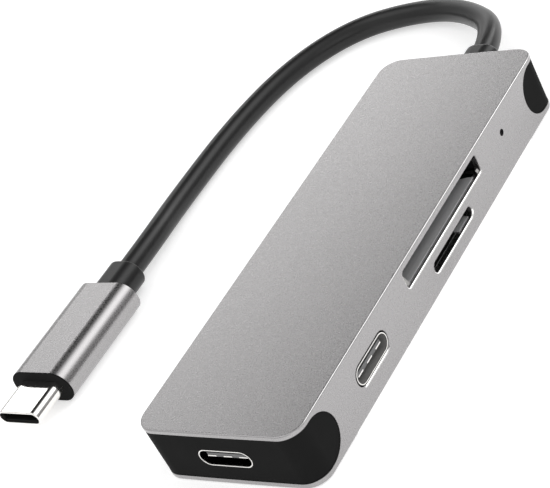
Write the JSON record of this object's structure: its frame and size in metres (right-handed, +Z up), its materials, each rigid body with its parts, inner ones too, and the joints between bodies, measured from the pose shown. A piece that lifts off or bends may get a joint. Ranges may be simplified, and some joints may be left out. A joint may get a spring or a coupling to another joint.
{
  "type": "usb hub",
  "caption": "Slim aluminium hub: short captive cable with a reversible plug, sockets of the same kind on one end and one side, and two card slots in that side.",
  "frame": {"origin": "under the middle of the body, on its resting face", "axes": "+X towards the side with the card slots, +Y towards the end the cable leaves, +Z up"},
  "size_m": [0.0633, 0.1066, 0.0094],
  "materials": {
    "anodised_aluminium": "fine bead-blasted and anodised, silver grey, edges eased",
    "black_plastic": "satin black moulding",
    "bright_steel": "bright nickel plating",
    "port_steel": "bright nickel plating at the rim, dulled inside",
    "tongue_plastic": "grey glass-filled moulding",
    "contact_metal": "thin gold over nickel",
    "dull_steel": "plain rolled sheet",
    "board_laminate": "dark solder mask over laminate",
    "chip_resin": "black moulding compound",
    "tan_ceramic": "fired ceramic with tinned ends",
    "clear_resin": "clear moulded resin",
    "grey_pad": "soft gap filler",
    "black_film": "thin insulating film",
    "lead_jacket": "coloured wire insulation",
    "cable_rubber": "soft matt jacket"
  },
  "bodies": {
    "hub": {"cable": "cable_rubber", "cable_collar": "cable_rubber", "cable_leads": "lead_jacket", "capacitors": "tan_ceramic", "card_reader_chip": "chip_resin", "coils": "chip_resin", "crystal": "dull_steel", "front_end_cap": "black_plastic", "front_port_contacts": "bright_steel", "front_port_shell": "port_steel", "front_port_tongue": "tongue_plastic", "housing_shell": "anodised_aluminium", "hub_controller": "chip_resin", "insulating_sheet": "black_film", "light_pipe": "clear_resin", "main_board": "board_laminate", "microsd_contacts": "contact_metal", "microsd_cover": "dull_steel", "microsd_frame": "black_plastic", "microsd_spring": "dull_steel", "plug_board": "board_laminate", "plug_contacts": "contact_metal", "plug_core": "black_plastic", "plug_insert": "black_plastic", "plug_shell": "bright_steel", "plug_sleeve": "anodised_aluminium", "plug_strain_relief": "cable_rubber", "power_chip": "chip_resin", "rear_end_cap": "black_plastic", "sd_contacts": "contact_metal", "sd_frame": "black_plastic", "sd_plate": "dull_steel", "sd_switch": "bright_steel", "side_port_contacts": "bright_steel", "side_port_shell": "port_steel", "side_port_tongue": "tongue_plastic", "status_led": "clear_resin", "thermal_pad": "grey_pad"},
    "card_carriage": {"microsd_carriage": "tongue_plastic"}
  },
  "joints": [
    {"name": "microsd_push", "type": "slide", "parent": "hub", "child": "card_carriage", "axis": [-1, 0, 0], "range_m": [0, 0.003], "stiffness_N_per_m": 200, "springref_m": -0.002, "deforming": ["microsd_spring"]}
  ]
}
